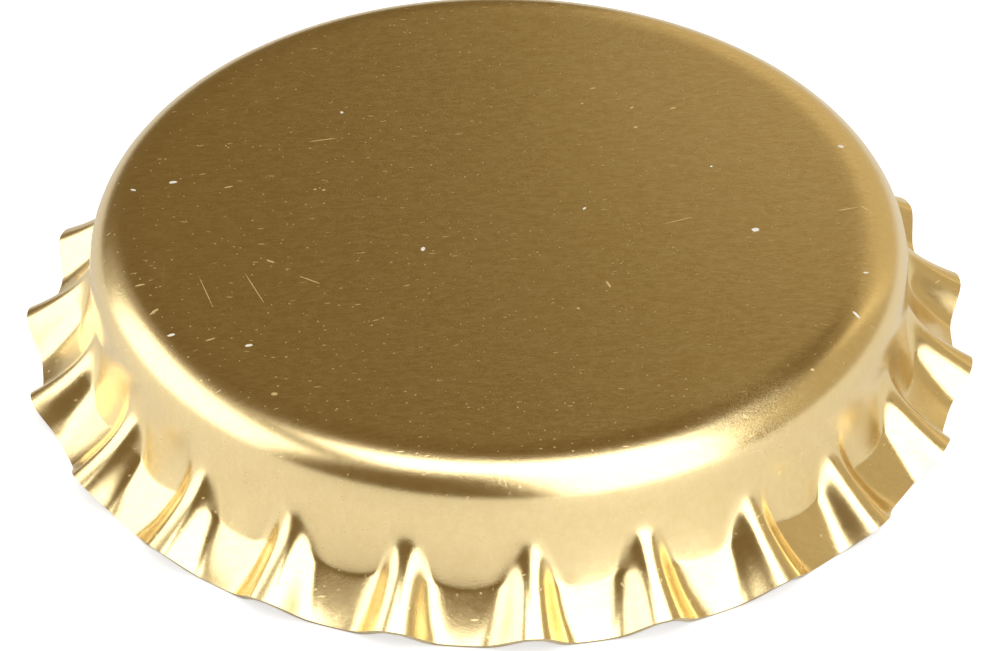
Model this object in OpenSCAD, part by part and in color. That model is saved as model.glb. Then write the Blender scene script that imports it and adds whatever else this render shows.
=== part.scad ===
// Crown bottle cap, new and not yet crimped: a pressed tinplate shell with a
// moulded sealing liner inside. It stands on its rim, with its axis on Z.
// Sizes are in millimetres.

/* [Shell] */
// Diameter over the tips of the ridges
rim_d = 32.1; // [31:0.1:38.6]
// Height of the cap standing on its rim
cap_h = 6; // [5.6:0.1:7.2]
// Outside diameter of the plain wall
wall_d = 27.5; // [22.9:0.1:28.4]
// Thickness of the tinplate
sheet = 0.24; // [0.18:0.01:0.3]
// Outside radius where the top turns down into the wall
shoulder_r = 1.5; // [1.2:0.1:1.8]
// Height of the plain wall between the shoulder and the skirt
wall_h = 0.9; // [0.5:0.1:1.2]

/* [Skirt] */
// Number of ridges round the skirt
ridges = 22; // [18:1:24]
// How far the ridge tips stand out past the rim in the hollows
ridge_depth = 0.64; // [0.4:0.02:0.9]
// How much higher the ridge tips end than the hollows
tip_lift = 0.8; // [0.4:0.05:0.9]
// How sharply the ridges turn outwards on their way down
ridge_flare = 1.8; // [1.4:0.05:2.2]
// Share of the pitch that a ridge takes up where it leaves the wall
ridge_width = 0.5; // [0.4:0.02:0.6]
// Height above the rim at which the hollows bend out of the wall
bend_h = 1.12; // [0.95:0.01:1.3]
// Radius of that bend
bend_r = 0.45; // [0.3:0.05:0.5]
// How far the hollows bend out from upright
bend_turn = 72; // [60:1:78]

/* [Liner] */
// Gap between the edge of the liner and the wall
liner_gap = 0.2; // [0.15:0.05:0.4]
// Thickness of the web in the middle of the liner
web_t = 0.3; // [0.2:0.05:0.5]
// Thickness of the sealing ring
ring_t = 0.95; // [0.7:0.05:1]
// Width of the sealing ring
ring_w = 3; // [2.4:0.1:3.6]
// Radius on the edges of the sealing ring
ring_edge_r = 0.35; // [0.2:0.05:0.4]
// Number of fine ribs on the web
web_ribs = 3; // [0:1:4]

/* [Hidden] */

// Facets on the drawn circles
$fn = 180;

// Where the columns of points stand on one pitch of the ridges, and the number
// of rings of points from the top of the skirt to its edge
column_shares = [0, 0.075, 0.165, 0.275, 0.5, 0.725, 0.835, 0.925];
rings_down = 9;

wall_r = wall_d / 2;
rim_r = rim_d / 2;
hollow_r = rim_r - ridge_depth;
inner_h = cap_h - sheet;
ridge_start = cap_h - shoulder_r - wall_h;
liner_r = wall_r - sheet - liner_gap;
ring_inner_r = liner_r - ring_w;

// The floor of a hollow runs from the end of the bend to the rim, and droops
floor_droop = 1.4;
bend_end_r = wall_r + bend_r * (1 - cos(bend_turn));
floor_fall = bend_h - bend_r * sin(bend_turn);

// The sheared edge is square to the sheet, so its inner corner is the lowest
// point. The outer corner sits higher by this much in the hollows.
hollow_z = sheet * cos(atan(floor_droop * floor_fall / (hollow_r - bend_end_r)));
bend_start = hollow_z + bend_h;

// The hollows reach the bend at this share of the way down the skirt, and a
// hollow's corners bend out this much higher than its middle
bend_share = 0.58;
corner_lift = 0.25;

// A ridge widens to this share of the pitch, and its crest and flanks sharpen,
// over the last part of the way down
widen_from = 0.55;
rim_width = 0.95;
crest_round = 0.4;
tip_round = 0.1;
wall_hollow = 1.05;
rim_hollow = 1.4;

// The skirt's first ring is let up into the wall, clear of both its faces
lap_h = 0.1;
lap_inset = 0.02;

columns = ridges * len(column_shares);
rows = rings_down + 1;
// Small steps used to find the direction square to the sheet
turn_step = 0.2;
fall_step = 0.01;

// Position between two hollows: 0 on a crest, 1 in the middle of a hollow
function off_crest(turn) =
    let (place = turn * ridges / 360)
    2 * abs(place - round(place));

// How far the skirt has widened: fall runs from 0 at its top to 1 at its edge
function widened(fall) = max(0, (fall - widen_from) / (1 - widen_from));
function blend(from, to, share) = from + (to - from) * share;

// Height of the skirt's outer face: 1 on the crest line, 0 on the hollow line
function crest(off, fall) =
    let (low = widened(fall),
         across = min(1, off / blend(ridge_width, rim_width, low * low)),
         k = blend(crest_round, tip_round, low),
         slope = 1 - (sqrt(across * across + k * k) - k) / (sqrt(1 + k * k) - k))
    pow(max(0, slope), blend(wall_hollow, rim_hollow, low));

// Radius and height along the crest of a ridge
function crest_line(fall) =
    [wall_r + (rim_r - wall_r) * pow(fall, ridge_flare),
     blend(ridge_start, hollow_z + tip_lift, fall)];

// Radius and height down a hollow: the wall, the bend and then the floor
function hollow_line(off, fall) =
    let (side = off > ridge_width ? pow((1 - off) / (1 - ridge_width), 2) : 1,
         start = bend_start + corner_lift * side * (1 - widened(fall)),
         bend = 2 * (fall - bend_share) / (1 - bend_share),
         turn = bend_turn * min(1, max(0, bend)),
         out = max(0, bend - 1),
         r = wall_r + bend_r * (1 - cos(turn)),
         z = start - bend_r * sin(turn))
    fall < bend_share
        ? [wall_r, blend(ridge_start, start, fall / bend_share)]
        : [blend(r, hollow_r, out), blend(z, hollow_z, pow(out, floor_droop))];

function on_ring(r, turn, z) = [r * cos(turn), r * sin(turn), z];
function outer_point(turn, fall) =
    let (off = off_crest(turn),
         p = blend(hollow_line(off, fall), crest_line(fall), crest(off, fall)))
    on_ring(p[0], turn, p[1]);

function unit(v) = v / norm(v);
function outward(turn, fall) =
    unit(cross(outer_point(turn + turn_step, fall) - outer_point(turn - turn_step, fall),
               outer_point(turn, fall - fall_step) - outer_point(turn, fall + fall_step)));
function inner_point(turn, fall) =
    outer_point(turn, fall) - sheet * outward(turn, fall);

function column_turn(column) =
    let (n = len(column_shares))
    (floor(column / n) + column_shares[column % n]) * 360 / ridges;
function row_fall(row) = (row - 0.5) / (rows - 1.5);
function outer_row(row) = [
    for (column = [0:columns - 1])
        let (turn = column_turn(column))
        row == 0
            ? on_ring(wall_r - lap_inset, turn, ridge_start + lap_h)
            : outer_point(turn, row_fall(row))
];
function inner_row(row) = [
    for (column = [0:columns - 1])
        let (turn = column_turn(column))
        row == 0
            ? on_ring(wall_r - sheet + lap_inset, turn, ridge_start + lap_h)
            : inner_point(turn, row_fall(row))
];

// Rows run down the outside and back up the inside, and close on themselves
function loop_row(i) = i < rows ? outer_row(i) : inner_row(2 * rows - 1 - i);

module skirt() {
    loops = 2 * rows;
    points = [for (i = [0:loops - 1]) each loop_row(i)];
    faces = [
        for (i = [0:loops - 1], column = [0:columns - 1])
            let (a = i * columns + column,
                 b = i * columns + (column + 1) % columns,
                 c = ((i + 1) % loops) * columns + (column + 1) % columns,
                 d = ((i + 1) % loops) * columns + column)
            each [[a, b, c], [a, c, d]]
    ];
    polyhedron(points, faces, convexity = 6);
}

// Section of a round-shouldered cup standing mouth down, from the axis out
module cup_section(r, h, corner_r) {
    square([r - corner_r, h]);
    square([r, h - corner_r]);
    translate([r - corner_r, h - corner_r]) circle(corner_r);
}

module pressed_top() {
    rotate_extrude()
        intersection() {
            difference() {
                cup_section(wall_r, cap_h, shoulder_r);
                cup_section(wall_r - sheet, inner_h, shoulder_r - sheet);
            }
            translate([0, ridge_start]) square([rim_r, cap_h - ridge_start]);
        }
}

module shell() {
    color([0.74, 0.58, 0.27]) {
        pressed_top();
        skirt();
    }
}

module ring_section() {
    low = inner_h - ring_t;
    translate([ring_inner_r, low + ring_edge_r])
        square([ring_w, ring_t - ring_edge_r]);
    translate([ring_inner_r + ring_edge_r, low])
        square([ring_w - 2 * ring_edge_r, ring_t]);
    for (x = [ring_inner_r + ring_edge_r, liner_r - ring_edge_r])
        translate([x, low + ring_edge_r]) circle(ring_edge_r);
}

module liner() {
    rib_pitch = ring_inner_r / (web_ribs + 1);
    rib_r = web_t / 2;
    color([0.86, 0.86, 0.82])
        rotate_extrude()
            intersection() {
                union() {
                    translate([0, inner_h - web_t])
                        square([ring_inner_r + ring_edge_r, web_t]);
                    for (i = [1:1:web_ribs])
                        translate([i * rib_pitch, inner_h - web_t]) circle(rib_r);
                    ring_section();
                }
                // The compound fills the cup's corner but for a thin gap
                cup_section(liner_r, inner_h, shoulder_r - sheet);
            }
}

shell();
liner();
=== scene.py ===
from math import atan2, cos, pi, radians, sin, sqrt

import bmesh
import bpy
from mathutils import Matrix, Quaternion, Vector


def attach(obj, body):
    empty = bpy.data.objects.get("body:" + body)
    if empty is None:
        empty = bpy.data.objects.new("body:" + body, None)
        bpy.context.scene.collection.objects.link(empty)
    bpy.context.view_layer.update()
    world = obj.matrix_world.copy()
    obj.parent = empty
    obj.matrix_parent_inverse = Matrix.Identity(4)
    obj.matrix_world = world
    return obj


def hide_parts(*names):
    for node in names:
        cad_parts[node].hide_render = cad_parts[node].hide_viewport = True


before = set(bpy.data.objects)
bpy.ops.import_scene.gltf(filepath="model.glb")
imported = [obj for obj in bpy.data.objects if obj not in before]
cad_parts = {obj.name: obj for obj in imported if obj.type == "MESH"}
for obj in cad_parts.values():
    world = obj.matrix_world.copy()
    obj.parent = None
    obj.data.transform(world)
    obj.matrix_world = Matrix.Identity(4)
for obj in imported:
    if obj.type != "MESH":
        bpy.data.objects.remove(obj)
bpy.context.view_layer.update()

mm = 0.001
close = 1e-6  # a point this near its place, in metres, is the one that is meant
closeTurn = 1e-4  # the same for its turn round the cap, in radians


def mmPoint(x, y, z):
    return Vector((x * mm, y * mm, z * mm))


# modelling helpers

def startFresh():
    if bpy.context.object and bpy.context.object.mode != "OBJECT":
        bpy.ops.object.mode_set(mode="OBJECT")
    bpy.ops.object.select_all(action="DESELECT")


def addPoint(name, x, y, z):
    startFresh()
    bpy.ops.mesh.primitive_plane_add(size=mm, location=mmPoint(x, y, z))
    piece = bpy.context.object
    piece.name = piece.data.name = name
    bpy.ops.object.transform_apply(location=True, rotation=True, scale=True)
    bpy.ops.object.mode_set(mode="EDIT")
    bpy.ops.mesh.select_mode(type="VERT")
    bpy.ops.mesh.select_all(action="SELECT")
    bpy.ops.mesh.merge(type="CENTER")
    return piece


def pullRow(fromRZ, toRZ):
    # the selected row is extruded to its next radius and height
    k = toRZ[0] / fromRZ[0]
    bpy.ops.mesh.extrude_region_move(TRANSFORM_OT_translate={"value": (0, 0, (toRZ[1] - fromRZ[1]) * mm)})
    bpy.ops.transform.resize(value=(k, k, 1), center_override=(0, 0, 0))


def selectWhere(piece, test):
    mesh = bmesh.from_edit_mesh(piece.data)
    for v in mesh.verts:
        v.select_set(test(v.co))
    mesh.select_flush_mode()
    mesh.select_flush(True)
    bmesh.update_edit_mesh(piece.data)


def applyAll(piece):
    startFresh()
    bpy.context.view_layer.objects.active = piece
    piece.select_set(True)
    for m in list(piece.modifiers):
        bpy.ops.object.modifier_apply(modifier=m.name)


# the pressed shell: one ridge is drawn out of the wall, then turned round the cap

shellSizes = {
    "height": 6.0,
    "wallRadius": 13.75,
    "shoulder": 1.5,
    "sheet": 0.24,
    "ridges": 22,
    "smoothAngle": 40,
    "seam": 0.01,
    # columns of points, in shares of half the pitch from a crest to the middle of the hollow
    "columns": (0, 0.08, 0.155, 0.235, 0.32, 0.41, 0.51, 0.64, 0.81, 1.0),
    "shoulderTurns": (15, 30, 45, 60, 75, 90),
    "topRings": (11.85, 11.05, 7, 3, 0.5),
    # a ridge leaves the wall here and flares out to its tip
    "ridgeTop": 3.6,
    "tipRadius": 16.03,
    "tipZ": 0.99,
    "ridgeFlare": 1.8,
    # a hollow leans out to its foot, and beside a ridge the foot is higher and leans less
    "footRadius": 14.14,
    "footZ": 1.5,
    "footLift": 0.5,
    "leanLoss": 0.85,
    # then it turns through a crease, and its floor runs out to the rim, in degrees from upright
    "creaseRadius": 0.25,
    "floorTurn": 39,
    "rimTurn": 54,
    "rimRadius": 15.41,
    "rimZ": 0.2,
    # half widths and rounding of a ridge, in shares of half the pitch: first high up, then at the rim
    "crestWidth": 0.1,
    "tipWidth": 0.19,
    "ridgeWidth": 0.32,
    "rimWidth": 0.6,
    "crestRound": 0.07,
    "rimRound": 0.1,
    "widenFrom": 0.3,
    # how far each row of points is down the ridge, and how far down the hollow
    "rows": ((0.07, 0.12), (0.15, 0.25), (0.23, 0.38), (0.31, 0.51), (0.39, 0.65), (0.465, 0.79),
             (0.53, 0.91), (0.575, 1.1), (0.61, 1.9), (0.655, 2.15), (0.73, 2.35), (0.82, 2.57),
             (0.91, 2.79), (1.0, 3.0)),
    # pressed work is never quite even: a ridge, its turn in degrees and its lift in millimetres
    "nudges": ((1, 0.0, 0.12), (2, 0.5, 0.04), (3, 0.2, 0.0), (4, -0.4, 0.06), (7, 0.3, -0.05),
               (8, -0.5, 0.03), (10, -0.4, 0.0), (11, -0.3, 0.0), (12, 0.2, -0.04), (13, 0.8, 0.06),
               (14, 0.5, 0.0), (17, 0.5, 0.0), (18, 0.1, 0.04), (19, 0.1, -0.02), (20, -0.2, -0.16),
               (21, 0.2, -0.05)),
    # a nudge takes the points this near the crest, in radians, and this far out from the wall
    "nudgeTurn": 0.03,
    "nudgeOut": 0.4,
    "nudgeReach": 1.7,
}


def hollowPoint(h, side, s):
    # 0 to 1 down the wall as it leans out, 1 to 2 round the crease, 2 to 3 out along the floor of the hollow
    footZ = s["footZ"] + s["footLift"] * side
    lean = (s["footRadius"] - s["wallRadius"]) * (1 - s["leanLoss"] * side)
    fall = s["ridgeTop"] - footZ
    if h < 1:
        return s["wallRadius"] + lean * h ** 2, s["ridgeTop"] - fall * h
    a = atan2(2 * lean, fall)
    b = radians(s["floorTurn"])
    t = a + (b - a) * min(h - 1, 1)
    r = s["wallRadius"] + lean + s["creaseRadius"] * (cos(a) - cos(t))
    z = footZ - s["creaseRadius"] * (sin(t) - sin(a))
    if h <= 2:
        return r, z
    # the floor turns slowly flatter on its way to the rim
    c = radians(s["rimTurn"])
    endR, endZ = s["rimRadius"], s["rimZ"]
    k = ((endR - r) * cos(c) - (z - endZ) * sin(c)) / (sin(b) * cos(c) - cos(b) * sin(c))
    midR, midZ = r + k * sin(b), z - k * cos(b)
    t = h - 2
    r = r * (1 - t) ** 2 + 2 * midR * t * (1 - t) + endR * t ** 2
    z = z * (1 - t) ** 2 + 2 * midZ * t * (1 - t) + endZ * t ** 2
    return r, z


def ridgePoint(f, s):
    r = s["wallRadius"] + (s["tipRadius"] - s["wallRadius"]) * f ** s["ridgeFlare"]
    return r, s["ridgeTop"] + (s["tipZ"] - s["ridgeTop"]) * f


def flankFall(u, a, b, k):
    # how far the flanks have fallen: nothing inside a, all of it past b, with rounded corners
    def step(x):
        return sqrt((x - a) ** 2 + k * k) - sqrt((x - b) ** 2 + k * k)
    return step(u) + step(-u) + step(2 - u)


def skirtPoint(row, u, s):
    f, where = row
    low = max(0.0, (f - s["widenFrom"]) / (1 - s["widenFrom"]))
    a = s["crestWidth"] + (s["tipWidth"] - s["crestWidth"]) * low
    b = s["ridgeWidth"] + (s["rimWidth"] - s["ridgeWidth"]) * low
    k = s["crestRound"] + (s["rimRound"] - s["crestRound"]) * low
    foot = flankFall(1, a, b, k)
    g = (foot - flankFall(u, a, b, k)) / (foot - flankFall(0, a, b, k))
    side = ((1 - u) / (1 - s["ridgeWidth"])) ** 2 if u > s["ridgeWidth"] else 1.0
    hollowR, hollowZ = hollowPoint(where, side * (1 - low), s)
    crestR, crestZ = ridgePoint(f, s)
    return hollowR + (crestR - hollowR) * g, hollowZ + (crestZ - hollowZ) * g


def ridgeSector(name, pitch, s):
    # one ridge of the cap, its crest on the X axis
    shares = s["columns"]
    half = len(shares) - 1
    step = pitch / 2 / half
    wall, top, shoulder = s["wallRadius"], s["height"], s["shoulder"]
    start = (wall, s["ridgeTop"])
    sector = addPoint(name, wall * cos(pitch / 2), wall * sin(pitch / 2), start[1])
    bpy.ops.mesh.spin(steps=2 * half, angle=pitch, center=(0, 0, 0), axis=(0, 0, 1))
    # more columns near the crest than out in the hollow
    for k in range(1, half):
        for side in (1, -1):
            selectWhere(sector, lambda p: abs(atan2(p.y, p.x) - side * k * step) < closeTurn)
            turn = side * (k * step - shares[k] * pitch / 2)
            bpy.ops.transform.rotate(value=turn, orient_axis="Z", center_override=(0, 0, 0))
    # up the wall, over the shoulder and in across the top
    bendR, bendZ = wall - shoulder, top - shoulder
    profile = [start, (wall, (bendZ + start[1]) / 2), (wall, bendZ)]
    for a in s["shoulderTurns"]:
        profile.append((bendR + shoulder * cos(radians(a)), bendZ + shoulder * sin(radians(a))))
    profile += [(r, top) for r in s["topRings"]]
    bpy.ops.mesh.select_all(action="SELECT")
    for a, b in zip(profile, profile[1:]):
        pullRow(a, b)
    # down the skirt as a wide plain tube first
    tube, rowGap = 20.0, 0.2
    selectWhere(sector, lambda p: abs(p.z - start[1] * mm) < close)
    last = start
    heights = []
    for i in range(len(s["rows"])):
        z = start[1] - rowGap * (i + 1)
        pullRow(last, (tube, z))
        last = (tube, z)
        heights.append(z)
    # then each row is drawn to the ridge and hollow lines
    for row, h in zip(s["rows"], heights):
        for k in range(half + 1):
            def inPlace(p):
                if abs(p.z - h * mm) > close or abs(p.xy.length - tube * mm) > close:
                    return False
                return abs(abs(atan2(p.y, p.x)) - shares[k] * pitch / 2) < closeTurn
            selectWhere(sector, inPlace)
            r, z = skirtPoint(row, shares[k], s)
            bpy.ops.transform.resize(value=(r / tube, r / tube, 1), center_override=(0, 0, 0))
            bpy.ops.transform.translate(value=(0, 0, (z - h) * mm))
    return sector


def nudgeRidge(shell, s, ridge, turn, lift):
    place = 2 * pi * ridge / s["ridges"]

    def onRidge(p):
        off = (atan2(p.y, p.x) - place + pi) % (2 * pi) - pi
        return abs(off) < s["nudgeTurn"] and p.xy.length > (s["wallRadius"] + s["nudgeOut"]) * mm
    selectWhere(shell, onRidge)
    soft = {"use_proportional_edit": True, "proportional_edit_falloff": "SMOOTH",
            "proportional_size": s["nudgeReach"] * mm}
    # a minus turns counter-clockwise from above
    bpy.ops.transform.rotate(value=-radians(turn), orient_axis="Z", center_override=(0, 0, 0), **soft)
    bpy.ops.transform.translate(value=(0, 0, lift * mm), **soft)


def makeShell(s):
    pitch = 2 * pi / s["ridges"]
    shell = ridgeSector("pressedShell", pitch, s)
    bpy.ops.mesh.select_all(action="SELECT")
    # the copies go counter-clockwise from above
    rest = s["ridges"] - 1
    bpy.ops.mesh.spin(steps=rest, angle=-rest * pitch, dupli=True, center=(0, 0, 0), axis=(0, 0, 1))
    bpy.ops.mesh.select_all(action="SELECT")
    bpy.ops.mesh.remove_doubles(threshold=s["seam"] * mm)
    # the innermost ring is closed to a point
    closeRadius = (s["topRings"][-1] + 0.1) * mm
    selectWhere(shell, lambda p: p.xy.length < closeRadius)
    bpy.ops.mesh.extrude_region_move()
    bpy.ops.mesh.merge(type="CENTER")
    bpy.ops.mesh.select_all(action="SELECT")
    bpy.ops.mesh.normals_make_consistent(inside=False)
    for ridge, turn, lift in s["nudges"]:
        nudgeRidge(shell, s, ridge, turn, lift)
    bpy.ops.object.mode_set(mode="OBJECT")
    smooth = shell.modifiers.new("smooth", "SUBSURF")
    smooth.levels = smooth.render_levels = 1
    # the walls get their thickness inwards, with the cut edge and the inside as materials of their own
    wallUp = shell.modifiers.new("sheet", "SOLIDIFY")
    wallUp.thickness = s["sheet"] * mm
    wallUp.offset = -1
    wallUp.use_even_offset = True
    wallUp.material_offset = 2
    wallUp.material_offset_rim = 1
    applyAll(shell)
    bpy.ops.object.shade_smooth_by_angle(angle=radians(s["smoothAngle"]))
    return shell


shell = makeShell(shellSizes)
triangles = sum(len(p.vertices) - 2 for p in shell.data.polygons)
print("shell", len(shell.data.polygons), "faces", triangles, "triangles")
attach(shell, "root")
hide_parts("shell")


# shading helpers

def newMaterial(name):
    m = bpy.data.materials.new(name)
    m.use_nodes = True
    return m, m.node_tree, m.node_tree.nodes["Principled BSDF"]


def feed(tree, v, socket):
    # a socket is linked in, a plain value is set
    if isinstance(v, bpy.types.NodeSocket):
        tree.links.new(v, socket)
    elif v is not None:
        socket.default_value = v


def newGroup(name, inputs, output):
    # an input without a value of its own is a vector, the others are numbers
    g = bpy.data.node_groups.new(name, "ShaderNodeTree")
    for n, value in inputs.items():
        kind = "NodeSocketVector" if value is None else "NodeSocketFloat"
        feed(g, value, g.interface.new_socket(n, in_out="INPUT", socket_type=kind))
    g.interface.new_socket(output, in_out="OUTPUT", socket_type="NodeSocketFloat")
    return g, g.nodes.new("NodeGroupInput").outputs, g.nodes.new("NodeGroupOutput").inputs


def useGroup(tree, g, **values):
    n = tree.nodes.new("ShaderNodeGroup")
    n.node_tree = g
    for k, v in values.items():
        feed(tree, v, n.inputs[k])
    return n.outputs[0]


def math(tree, kind, a, b=None, c=None, clamp=False):
    n = tree.nodes.new("ShaderNodeMath")
    n.operation = kind
    n.use_clamp = clamp
    for i, v in enumerate((a, b, c)):
        feed(tree, v, n.inputs[i])
    return n.outputs[0]


def vectorMath(tree, kind, a, b=None, scale=None):
    n = tree.nodes.new("ShaderNodeVectorMath")
    n.operation = kind
    feed(tree, a, n.inputs[0])
    feed(tree, b, n.inputs[1])
    if kind == "SCALE":
        feed(tree, scale, n.inputs["Scale"])
    return n.outputs["Value" if kind == "LENGTH" else "Vector"]


def parts(tree, v):
    n = tree.nodes.new("ShaderNodeSeparateXYZ")
    tree.links.new(v, n.inputs[0])
    return n.outputs


def mixColour(tree, share, a, b):
    n = tree.nodes.new("ShaderNodeMix")
    n.data_type = "RGBA"
    for i, v in ((0, share), (6, a), (7, b)):
        feed(tree, v, n.inputs[i])
    return n.outputs[2]


def remap(tree, value, fromLow, fromHigh, toLow=0.0, toHigh=1.0):
    n = tree.nodes.new("ShaderNodeMapRange")
    n.interpolation_type = "SMOOTHSTEP"
    for i, v in enumerate((value, fromLow, fromHigh, toLow, toHigh)):
        feed(tree, v, n.inputs[i])
    return n.outputs[0]


def turned(tree, place, angle):
    n = tree.nodes.new("ShaderNodeVectorRotate")
    n.rotation_type = "Z_AXIS"
    feed(tree, place, n.inputs["Vector"])
    feed(tree, angle, n.inputs["Angle"])
    return n.outputs[0]


def addNoise(tree, place, scale, detail=2.0, roughness=0.5):
    n = tree.nodes.new("ShaderNodeTexNoise")
    feed(tree, place, n.inputs["Vector"])
    feed(tree, scale, n.inputs["Scale"])
    n.inputs["Detail"].default_value = detail
    n.inputs["Roughness"].default_value = roughness
    return n.outputs[0]


def addBump(tree, shader, height, strength, depth):
    n = tree.nodes.new("ShaderNodeBump")
    feed(tree, height, n.inputs["Height"])
    feed(tree, strength, n.inputs["Strength"])
    n.inputs["Distance"].default_value = depth * mm
    tree.links.new(n.outputs[0], shader.inputs["Normal"])


def millimetres(tree):
    n = tree.nodes.new("ShaderNodeTexCoord")
    return vectorMath(tree, "SCALE", n.outputs["Object"], scale=1000.0)


# long faint streaks left by the rolling mill

def makeRolling():
    drawnOut = (1.1, 2.8, 1.0)
    g, into, out = newGroup("rollingStreaks", {"Place": None, "Turn": 0.1, "Fineness": 1.0}, "Streaks")
    place = vectorMath(g, "MULTIPLY", turned(g, into["Place"], into["Turn"]), drawnOut)
    g.links.new(addNoise(g, place, into["Fineness"], 5.0, 0.7), out["Streaks"])
    return g


# short marks scattered over the sheet, each with its own turn and size

def makeMarks():
    shortest = 0.2  # of the full length
    g, into, out = newGroup("scatteredMarks", {"Place": None, "Spacing": 1.0, "Length": 0.2, "Width": 0.03,
                                               "Turn": 0.1, "Spread": 0.4, "Share": 0.5}, "Mask")
    place = vectorMath(g, "SCALE", into["Place"], scale=math(g, "DIVIDE", 1.0, into["Spacing"]))
    cells = g.nodes.new("ShaderNodeTexVoronoi")
    cells.voronoi_dimensions = "2D"
    g.links.new(place, cells.inputs["Vector"])
    cells.inputs["Scale"].default_value = 1.0
    away = vectorMath(g, "SUBTRACT", place, cells.outputs["Position"])
    away = vectorMath(g, "SCALE", away, scale=into["Spacing"])
    # each cell's random colour settles the turn, the length and whether there is a mark at all
    chance = parts(g, cells.outputs["Color"])
    swing = math(g, "MULTIPLY_ADD", math(g, "SUBTRACT", chance[0], 0.5), into["Spread"], into["Turn"])
    local = parts(g, turned(g, away, swing))
    size = math(g, "MULTIPLY_ADD", chance[1], 1 - shortest, shortest)
    along = math(g, "DIVIDE", local[0], math(g, "MULTIPLY", into["Length"], size))
    across = math(g, "DIVIDE", local[1], into["Width"])
    reach = math(g, "MULTIPLY_ADD", along, along, math(g, "MULTIPLY", across, across))
    shape = remap(g, math(g, "SQRT", reach), 0.2, 1.0, 1.0, 0.0)
    present = math(g, "LESS_THAN", chance[2], into["Share"])
    g.links.new(math(g, "MULTIPLY", shape, present), out["Mask"])
    return g


# how far a place is from the middle of a fleck, nick or scratch, in shares of its half sizes

def makeFleck():
    g, into, out = newGroup("fleck", {"Place": None, "Spot": None, "Turn": 0.0, "Size": None}, "Reach")
    away = vectorMath(g, "SUBTRACT", into["Place"], into["Spot"])
    shares = vectorMath(g, "DIVIDE", turned(g, away, into["Turn"]), into["Size"])
    g.links.new(vectorMath(g, "LENGTH", shares), out["Reach"])
    return g


# rubbed lacquer out at the rim, in spots

def makeRubbing():
    g, into, out = newGroup("rimRubbing", {"Place": None, "From": 15.4, "To": 16.1}, "Mask")
    r = vectorMath(g, "LENGTH", vectorMath(g, "MULTIPLY", into["Place"], (1, 1, 0)))
    span = math(g, "SUBTRACT", into["To"], into["From"])
    near = math(g, "DIVIDE", math(g, "SUBTRACT", r, into["From"]), span, clamp=True)
    spotty = remap(g, addNoise(g, into["Place"], 3.5, 5.0, 0.65), 0.48, 0.62)
    g.links.new(math(g, "MULTIPLY", near, spotty), out["Mask"])
    return g


rollingStreaks = makeRolling()
scatteredMarks = makeMarks()
fleckMark = makeFleck()
rimRubbing = makeRubbing()
print("shader groups ready")


# gold lacquer over bright tinplate: lengths in millimetres, turns in radians

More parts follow.
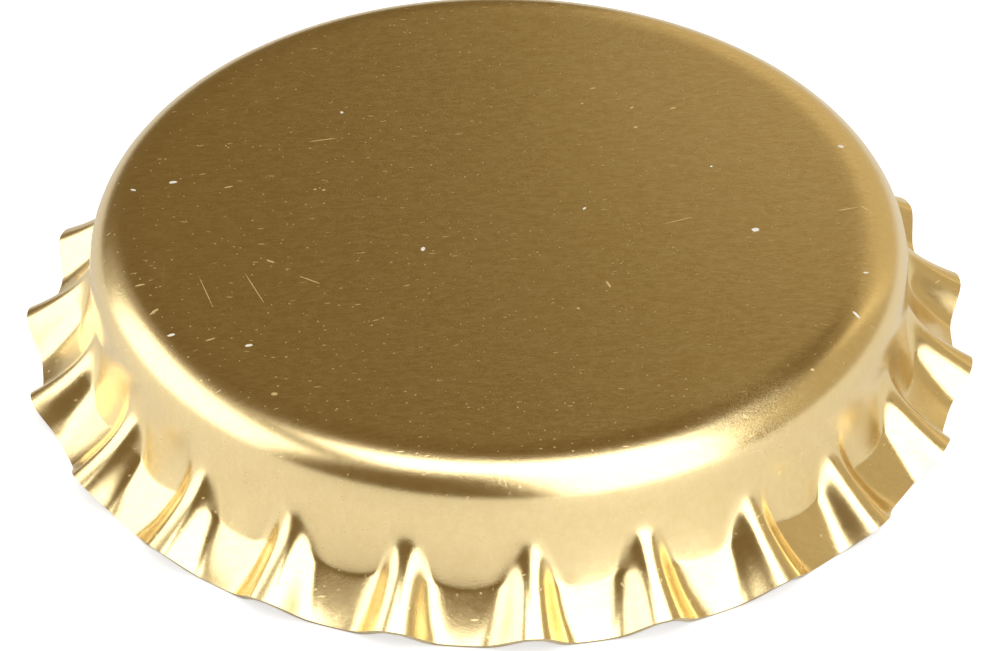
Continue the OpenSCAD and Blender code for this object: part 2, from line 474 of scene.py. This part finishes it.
goldLook = {
    "paleColour": (0.97, 0.82, 0.47, 1),
    "deepColour": (0.85, 0.66, 0.31, 1),
    "markColour": (1.0, 0.82, 0.4, 1),
    "lintColour": (0.7, 0.7, 0.66, 1),
    "rollingTurn": -0.19,
    "streakFineness": 2.4,
    "grainFineness": 17.0,
    "patchFineness": 0.9,
    "edgeFineness": 7.0,
    # streaks and grain tint the lacquer, most of all on the flat top
    "flatTop": 5.95,
    "streakTone": 1.1,
    "grainTone": 0.9,
    "toneSpan": (0.75, 1.25),
    "tintSwing": 0.4,
    "topTintSwing": 0.6,
    # roughness, and what each thing adds to it
    "roughness": 0.14,
    "streakRough": 0.1,
    "topRough": -0.01,
    "wornRough": 0.35,
    "dullRough": 0.12,
    "rubbedRough": 0.12,
    # the relief of the surface
    "streakHeight": 0.5,
    "wornHeight": -0.8,
    "bumpStrength": 0.7,
    "topBump": -0.3,
    "bumpDepth": 0.006,
    "coat": 0.5,
    "coatRoughness": 0.08,
    # scattered marks lie flat above this height and run round the wall below it
    "wrapBelow": 5.3,
    "specks": {"Spacing": 0.5, "Length": 0.07, "Width": 0.045, "Turn": 0.0, "Spread": 2.0, "Share": 0.5},
    "dashes": {"Spacing": 0.95, "Length": 0.2, "Width": 0.03, "Turn": -0.19, "Spread": 0.6, "Share": 0.45},
    "lines": {"Spacing": 3.4, "Length": 1.5, "Width": 0.014, "Turn": 0.8, "Spread": 2.4, "Share": 0.4},
    "lineShare": 0.22,
    # they come in patches, with more of them towards the left and front
    "patches": (0.38, 0.62, 0.2, 0.95),
    "perRight": -0.022,
    "perBack": -0.015,
    "markWear": 0.8,
    "nickWear": 0.9,
    "wornDulling": 0.22,
    "ragged": (1.2, 0.4),
    "fleckDepth": 0.6,
    "fleckEdge": (0.75, 1.0),
    # across, back, turn, half length and half width of each
    "lint": ((8.6, 0.2, 0.1, 0.15, 0.11), (2.8, 0.9, 1.1, 0.1, 0.05), (11.2, 5.1, -0.1, 0.13, 0.08),
             (-2.4, -1.8, 1.5, 0.14, 0.07), (-5.8, 5.6, 0.2, 0.06, 0.06), (-11.1, 1.2, 0.2, 0.16, 0.07),
             (-12.4, 0.7, -0.5, 0.13, 0.05), (12.2, -4.0, -0.7, 0.2, 0.06), (12.4, -1.8, 0.3, 0.1, 0.04),
             (-7.7, -7.5, 0.4, 0.14, 0.07), (-10.3, -7.1, 0.2, 0.15, 0.06), (6.9, 3.6, 0.0, 0.05, 0.05)),
    "nicks": ((5.4, 6.8, 0.3, 0.12, 0.05), (4.2, 5.6, 0.1, 0.07, 0.06), (4.0, 6.7, 0.9, 0.08, 0.05),
              (2.6, 7.7, 0.3, 0.12, 0.03), (-7.4, -2.9, -0.4, 0.17, 0.05), (-6.0, -3.8, -0.45, 0.45, 0.025),
              (-9.2, 1.1, 0.4, 0.17, 0.04), (-11.0, -5.9, 0.8, 0.2, 0.06), (-11.6, -4.5, 0.2, 0.2, 0.05),
              (-6.3, 4.0, 0.3, 0.55, 0.02), (-6.3, 1.2, 0.0, 0.06, 0.05), (-6.0, 1.2, 0.0, 0.05, 0.05),
              (-9.0, -7.3, 0.5, 0.2, 0.04), (-6.6, -10.0, 0.0, 0.12, 0.09), (3.9, -3.2, -1.1, 0.2, 0.04),
              (3.0, -4.6, 0.2, 0.06, 0.05), (6.0, 0.5, 0.45, 0.55, 0.018), (11.6, 1.6, 0.35, 0.4, 0.03),
              (12.2, 1.7, -0.8, 0.17, 0.04), (10.9, -7.0, 0.4, 0.08, 0.05), (-7.8, -4.4, -1.1, 1.0, 0.014),
              (-9.4, -4.7, -1.2, 0.9, 0.014), (2.3, 6.8, 0.0, 0.05, 0.05), (7.1, 9.8, 0.0, 0.06, 0.05)),
    # a dull patch at the right front of the top: its middle, how far out it is full and how far out gone
    "dullSpot": (9.4, -9.3, 6.0),
    "dullSpan": (0.6, 3.4),
    "dullGrain": (0.35, 0.6),
}


def scatterMarks(tree, look, place):
    x, y, z = parts(tree, place)
    # the top is marked in its own plane, the wall and skirt round their outside
    around = math(tree, "MULTIPLY", math(tree, "ARCTAN2", y, x), shellSizes["wallRadius"])
    wrapped = tree.nodes.new("ShaderNodeCombineXYZ")
    feed(tree, around, wrapped.inputs[0])
    feed(tree, z, wrapped.inputs[1])
    sheet = tree.nodes.new("ShaderNodeMix")
    sheet.data_type = "VECTOR"
    feed(tree, math(tree, "GREATER_THAN", z, look["wrapBelow"]), sheet.inputs[0])
    feed(tree, wrapped.outputs[0], sheet.inputs[4])
    feed(tree, place, sheet.inputs[5])
    specks, dashes, lines = [useGroup(tree, scatteredMarks, Place=sheet.outputs[1], **look[kind])
                             for kind in ("specks", "dashes", "lines")]
    marks = math(tree, "MAXIMUM", specks, dashes)
    marks = math(tree, "MAXIMUM", marks, math(tree, "MULTIPLY", lines, look["lineShare"]))
    cloud = addNoise(tree, place, look["patchFineness"], 3.0)
    side = math(tree, "MULTIPLY_ADD", x, look["perRight"], math(tree, "MULTIPLY", y, look["perBack"]))
    share = math(tree, "ADD", remap(tree, cloud, *look["patches"]), side, clamp=True)
    return math(tree, "MULTIPLY", marks, share)


def placeFlecks(tree, look, kind, place, ragged):
    # the nearest one counts
    nearest = None
    for x, y, turn, length, width in look[kind]:
        one = useGroup(tree, fleckMark, Place=place, Spot=(x, y, shellSizes["height"]), Turn=-turn,
                       Size=(length, width, look["fleckDepth"]))
        nearest = one if nearest is None else math(tree, "MINIMUM", nearest, one)
    return remap(tree, math(tree, "MULTIPLY", nearest, ragged), *look["fleckEdge"], 1.0, 0.0)


def makeGold(look):
    m, tree, shader = newMaterial("goldLacquer")
    place = millimetres(tree)
    onTop = math(tree, "GREATER_THAN", parts(tree, place)[2], look["flatTop"])
    streaks = useGroup(tree, rollingStreaks, Place=place, Turn=look["rollingTurn"],
                       Fineness=look["streakFineness"])
    grain = addNoise(tree, place, look["grainFineness"], 3.0, 0.75)
    # scratches, nicks and lint
    faint = scatterMarks(tree, look, place)
    ragged = math(tree, "MULTIPLY_ADD", addNoise(tree, place, look["edgeFineness"], 3.0), *look["ragged"])
    lint = placeFlecks(tree, look, "lint", place, ragged)
    nicks = placeFlecks(tree, look, "nicks", place, ragged)
    worn = math(tree, "MAXIMUM", math(tree, "MULTIPLY", faint, look["markWear"]),
                math(tree, "MULTIPLY", nicks, look["nickWear"]))
    away = vectorMath(tree, "LENGTH", vectorMath(tree, "SUBTRACT", place, look["dullSpot"]))
    dull = math(tree, "MULTIPLY", remap(tree, away, *look["dullSpan"], 1.0, 0.0),
                remap(tree, grain, *look["dullGrain"]))
    rubbed = useGroup(tree, rimRubbing, Place=place)
    # colour
    tone = math(tree, "MULTIPLY_ADD", streaks, look["streakTone"],
                math(tree, "MULTIPLY", grain, look["grainTone"]))
    swing = math(tree, "MULTIPLY_ADD", onTop, look["topTintSwing"], look["tintSwing"])
    tint = math(tree, "SUBTRACT", remap(tree, tone, *look["toneSpan"]), 0.5)
    tint = math(tree, "MULTIPLY_ADD", tint, swing, 0.5)
    colour = mixColour(tree, tint, look["deepColour"], look["paleColour"])
    colour = mixColour(tree, worn, colour, look["markColour"])
    colour = mixColour(tree, lint, colour, look["lintColour"])
    feed(tree, colour, shader.inputs["Base Color"])
    metal = math(tree, "SUBTRACT", 1.0, math(tree, "MULTIPLY", worn, look["wornDulling"]))
    feed(tree, math(tree, "SUBTRACT", metal, lint, clamp=True), shader.inputs["Metallic"])
    # gloss
    rough = look["roughness"]
    for mask, more in ((streaks, "streakRough"), (onTop, "topRough"), (worn, "wornRough"),
                       (dull, "dullRough"), (rubbed, "rubbedRough")):
        rough = math(tree, "MULTIPLY_ADD", mask, look[more], rough)
    feed(tree, math(tree, "MAXIMUM", rough, lint, clamp=True), shader.inputs["Roughness"])
    height = math(tree, "MULTIPLY_ADD", streaks, look["streakHeight"], grain)
    height = math(tree, "MULTIPLY_ADD", worn, look["wornHeight"], height)
    strength = math(tree, "MULTIPLY_ADD", onTop, look["topBump"], look["bumpStrength"])
    addBump(tree, shader, height, strength, look["bumpDepth"])
    shader.inputs["Coat Weight"].default_value = look["coat"]
    shader.inputs["Coat Roughness"].default_value = look["coatRoughness"]
    return m


shell.data.materials.append(makeGold(goldLook))


# the sheared edge

steelLook = {
    "darkColour": (0.42, 0.39, 0.34, 1),
    "brightColour": (0.66, 0.6, 0.5, 1),
    "burrFineness": 9.0,
    "burrUpright": (1.0, 1.0, 0.2),
    "burrSpan": (0.3, 0.7),
    "roughness": (0.3, 0.5),
}


def makeSteel(look):
    m, tree, shader = newMaterial("cutSteel")
    place = vectorMath(tree, "MULTIPLY", millimetres(tree), look["burrUpright"])
    burr = addNoise(tree, place, look["burrFineness"], 3.0)
    feed(tree, mixColour(tree, burr, look["darkColour"], look["brightColour"]), shader.inputs["Base Color"])
    feed(tree, remap(tree, burr, *look["burrSpan"], *look["roughness"]), shader.inputs["Roughness"])
    shader.inputs["Metallic"].default_value = 1
    return m


shell.data.materials.append(makeSteel(steelLook))


# inside, under the liner, the sheet has a thinner and paler lacquer

insideLook = {
    "deepColour": (0.78, 0.68, 0.46, 1),
    "paleColour": (0.86, 0.77, 0.55, 1),
    "rollingTurn": -0.19,
    "streakFineness": 2.0,
    "streakSpan": (0.35, 0.65),
    "roughness": (0.28, 0.36),
}


def makeInside(look):
    m, tree, shader = newMaterial("insideLacquer")
    streaks = useGroup(tree, rollingStreaks, Place=millimetres(tree), Turn=look["rollingTurn"],
                       Fineness=look["streakFineness"])
    feed(tree, mixColour(tree, streaks, look["deepColour"], look["paleColour"]), shader.inputs["Base Color"])
    feed(tree, remap(tree, streaks, *look["streakSpan"], *look["roughness"]), shader.inputs["Roughness"])
    shader.inputs["Metallic"].default_value = 1
    return m


shell.data.materials.append(makeInside(insideLook))
print("shell finished")


# the sealing compound, moulded into the top: half its section is turned round the axis

linerSizes = {
    "steps": 128,
    "topZ": 5.755,
    "webZ": 5.46,
    "ribs": (2.58, 5.16, 7.73),
    "ribHigh": 0.15,
    "ribHalf": 0.2,
    "ribCurve": 0.7,
    "ribShares": (-1.0, -0.7, -0.35, 0.0, 0.35, 0.7, 1.0),
    # the corner where the web meets the sealing ring: out from the ring's inner side, and down
    "ringFoot": ((-0.25, 0.0), (-0.06, 0.06), (0.0, 0.2)),
    "ringInner": 10.31,
    "ringZ": 4.81,
    "edge": 0.35,
    "edgeTurns": (0, 22, 45, 68, 90),
    "outside": ((12.96, 4.81), (13.1, 4.84), (13.19, 4.92), (13.2, 5.0), (13.12, 5.16), (13.02, 5.3),
                (12.87, 5.46), (12.66, 5.6), (12.4, 5.7), (12.05, 5.755)),
    "seam": 0.005,
    "smoothAngle": 50,
}


def makeLiner(s):
    web, inner, edge = s["webZ"], s["ringInner"], s["edge"]
    profile = [(0.0, web)]
    for r in s["ribs"]:
        for a in s["ribShares"]:
            profile.append((r + s["ribHalf"] * a, web - s["ribHigh"] * cos(a * pi / 2) ** s["ribCurve"]))
    profile += [(inner + out, web - down) for out, down in s["ringFoot"]]
    for a in s["edgeTurns"]:
        profile.append((inner + edge - edge * cos(radians(a)), s["ringZ"] + edge - edge * sin(radians(a))))
    profile += s["outside"]
    profile.append((0.0, s["topZ"]))
    liner = addPoint("sealingLiner", profile[0][0], 0, profile[0][1])
    bpy.ops.mesh.select_all(action="SELECT")
    for (r, z), (nextR, nextZ) in zip(profile, profile[1:]):
        step = ((nextR - r) * mm, 0, (nextZ - z) * mm)
        bpy.ops.mesh.extrude_region_move(TRANSFORM_OT_translate={"value": step})
    bpy.ops.mesh.select_all(action="SELECT")
    bpy.ops.mesh.spin(steps=s["steps"], angle=2 * pi, center=(0, 0, 0), axis=(0, 0, 1))
    bpy.ops.mesh.select_all(action="SELECT")
    bpy.ops.mesh.remove_doubles(threshold=s["seam"] * mm)
    bpy.ops.mesh.normals_make_consistent(inside=False)
    bpy.ops.object.mode_set(mode="OBJECT")
    bpy.ops.object.shade_smooth_by_angle(angle=radians(s["smoothAngle"]))
    return liner


liner = makeLiner(linerSizes)
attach(liner, "root")
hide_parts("liner")


compoundLook = {
    "darkColour": (0.70, 0.70, 0.64, 1),
    "paleColour": (0.78, 0.78, 0.73, 1),
    "cloudFineness": 0.6,
    "cloudSpan": (0.3, 0.7),
    "roughness": (0.42, 0.55),
    "grainFineness": 16.0,
    "bumpStrength": 0.4,
    "bumpDepth": 0.01,
}


def makeCompound(look):
    m, tree, shader = newMaterial("linerCompound")
    place = millimetres(tree)
    cloud = addNoise(tree, place, look["cloudFineness"], 3.0)
    feed(tree, mixColour(tree, cloud, look["darkColour"], look["paleColour"]), shader.inputs["Base Color"])
    feed(tree, remap(tree, cloud, *look["cloudSpan"], *look["roughness"]), shader.inputs["Roughness"])
    grain = addNoise(tree, place, look["grainFineness"])
    addBump(tree, shader, grain, look["bumpStrength"], look["bumpDepth"])
    return m


liner.data.materials.append(makeCompound(compoundLook))
print("liner", len(liner.data.polygons), "faces")


# floor, light and camera

studio = {
    "floorSize": 4.0,
    "floorColour": (0.71, 0.71, 0.71, 1),
    "floorRoughness": 0.5,
    "floorLift": 0.65,
    "roomColour": (0.19, 0.131, 0.058, 1),
}


def makeFloor(s):
    startFresh()
    bpy.ops.mesh.primitive_plane_add(size=s["floorSize"])
    floor = bpy.context.object
    floor.name = "floor"
    m, tree, shader = newMaterial("floorPaper")
    shader.inputs["Base Color"].default_value = s["floorColour"]
    shader.inputs["Roughness"].default_value = s["floorRoughness"]
    # the paper glows a little, for the camera alone
    shader.inputs["Emission Color"].default_value = (1, 1, 1, 1)
    path = tree.nodes.new("ShaderNodeLightPath")
    lift = math(tree, "MULTIPLY", path.outputs["Is Camera Ray"], s["floorLift"])
    feed(tree, lift, shader.inputs["Emission Strength"])
    floor.data.materials.append(m)
    return floor


def makeRoom(s):
    world = bpy.data.worlds.new("room")
    world.use_nodes = True
    world.node_tree.nodes["Background"].inputs["Color"].default_value = s["roomColour"]
    bpy.context.scene.world = world


makeFloor(studio)
makeRoom(studio)


cameraPlace = {
    "azimuth": 4.34,
    "elevation": 37.71,
    "distance": 350,
    "lens": 374.5,
    "sensor": 36,
    "aim": (0.083, -0.700, 2.089),
    "roll": 0.26,
    "sees": (0.05, 10),
}

# degrees to the right of the camera and up, then distance, width and height in metres, radiance and tint
softboxes = {
    "topBox": (8, 76.5, 0.47, 0.50, 0.26, 2.4, (1, 1, 1)),
    "topGlow": (8, 77, 0.56, 0.95, 0.6, 0.28, (1, 1, 1)),
    "leftBox": (-91, 22, 0.5, 0.6, 0.42, 1.8, (1, 1, 1)),
    "leftGlow": (-95, 22, 0.6, 1.05, 0.75, 0.22, (1, 1, 1)),
    "rightCard": (37, 30, 0.15, 0.13, 0.19, 2.4, (1, 1, 1)),
    "sideFill": (100, 20, 0.42, 0.44, 0.42, 0.34, (1.0, 0.86, 0.6)),
    "backFill": (150, 16, 0.34, 0.32, 0.31, 0.44, (1.0, 0.84, 0.55)),
}


def awayFrom(azimuth, elevation):
    # from the cap towards something that stands this far round and up
    a, e = radians(azimuth), radians(elevation)
    return Vector((sin(a) * cos(e), -cos(a) * cos(e), sin(e)))


def addSoftbox(name, azimuth, elevation, distance, width, height, radiance, tint):
    back = awayFrom(azimuth + cameraPlace["azimuth"], elevation)
    light = bpy.data.lights.new(name, "AREA")
    light.shape = "RECTANGLE"
    light.size, light.size_y = width, height
    light.energy = radiance * pi * width * height
    light.color = tint
    box = bpy.data.objects.new(name, light)
    box.location = back * distance
    box.rotation_mode = "QUATERNION"
    box.rotation_quaternion = back.to_track_quat("Z", "Y")
    bpy.context.scene.collection.objects.link(box)
    box.visible_camera = False


def placeCamera(c):
    back = awayFrom(c["azimuth"], c["elevation"])
    data = bpy.data.cameras.new("camera")
    data.lens = c["lens"]
    data.sensor_width = c["sensor"]
    data.clip_start, data.clip_end = c["sees"]
    cam = bpy.data.objects.new("camera", data)
    bpy.context.scene.collection.objects.link(cam)
    cam.location = mmPoint(*c["aim"]) + back * c["distance"] * mm
    cam.rotation_mode = "QUATERNION"
    cam.rotation_quaternion = back.to_track_quat("Z", "Y") @ Quaternion((0, 0, 1), radians(c["roll"]))
    bpy.context.scene.camera = cam


for name, box in softboxes.items():
    addSoftbox(name, *box)
placeCamera(cameraPlace)
bpy.context.scene.view_settings.view_transform = "Standard"
print("floor, lights and camera ready")
